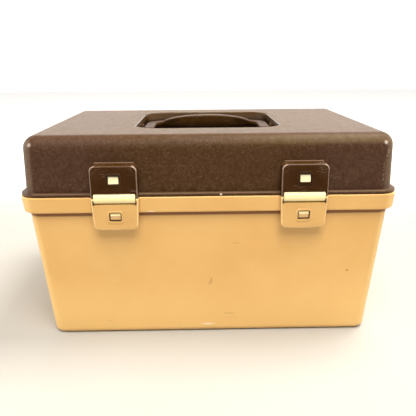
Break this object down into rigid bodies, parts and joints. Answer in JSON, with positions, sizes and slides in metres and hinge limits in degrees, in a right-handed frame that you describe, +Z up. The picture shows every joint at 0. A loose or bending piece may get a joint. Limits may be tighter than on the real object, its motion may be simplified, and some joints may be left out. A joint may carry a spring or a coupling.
{
  "type": "sewing carrier",
  "caption": "Moulded two-tone sewing carrier: tapered tub, deep hinged lid with a recessed folding bail handle, strap latches in front, strap hinges behind and a lift-out tray with thread pegs.",
  "frame": {"origin": "middle of the bottom of the bounding box, on the surface that the box stands on", "axes": "+X to the right along the long side, -Y towards the front with the latches, +Z up"},
  "size_m": [0.3598, 0.2692, 0.2073],
  "materials": {
    "tan_plastic": "satin moulded tan plastic, light scuffs",
    "brown_grained_plastic": "fine leather-like grain, matt dark brown",
    "brown_gloss_plastic": "smooth glossy dark brown, fine scratches",
    "cream_strap_plastic": "smooth cream flexible plastic",
    "pale_tray_plastic": "satin pale tan plastic"
  },
  "bodies": {
    "tub": {"tub": "tan_plastic", "hinge_plate_left": "tan_plastic", "hinge_plate_right": "tan_plastic", "hinge_tongue_left": "cream_strap_plastic", "hinge_tongue_right": "cream_strap_plastic"},
    "lid": {"lid": "brown_grained_plastic", "latch_housing_left": "brown_gloss_plastic", "latch_housing_right": "brown_gloss_plastic", "latch_bar_left": "cream_strap_plastic", "latch_bar_right": "cream_strap_plastic", "hinge_housing_left": "brown_gloss_plastic", "hinge_housing_right": "brown_gloss_plastic", "hinge_knuckle_left": "cream_strap_plastic", "hinge_knuckle_right": "cream_strap_plastic"},
    "latch_left": {"latch_flap_left": "tan_plastic", "latch_tongue_left": "cream_strap_plastic"},
    "latch_right": {"latch_flap_right": "tan_plastic", "latch_tongue_right": "cream_strap_plastic"},
    "handle": {"handle": "brown_gloss_plastic"},
    "tray": {"tray": "pale_tray_plastic"}
  },
  "joints": [
    {"name": "lid_hinge", "type": "hinge", "parent": "tub", "child": "lid", "pos_m": [0, 0.132, 0.151], "axis": [-1, 0, 0], "range_deg": [0, 110]},
    {"name": "latch_left_swing", "type": "hinge", "parent": "lid", "child": "latch_left", "pos_m": [-0.088, -0.1336, 0.151], "axis": [-1, 0, 0], "range_deg": [0, 150]},
    {"name": "latch_right_swing", "type": "hinge", "parent": "lid", "child": "latch_right", "pos_m": [0.088, -0.1336, 0.151], "axis": [-1, 0, 0], "range_deg": [0, 150]},
    {"name": "handle_swing", "type": "hinge", "parent": "lid", "child": "handle", "pos_m": [0, 0.003, 0.1975], "axis": [1, 0, 0], "range_deg": [0, 180]},
    {"name": "tray_lift", "type": "slide", "parent": "tub", "child": "tray", "axis": [0, 0, 1], "range_m": [0, 0.026]}
  ]
}
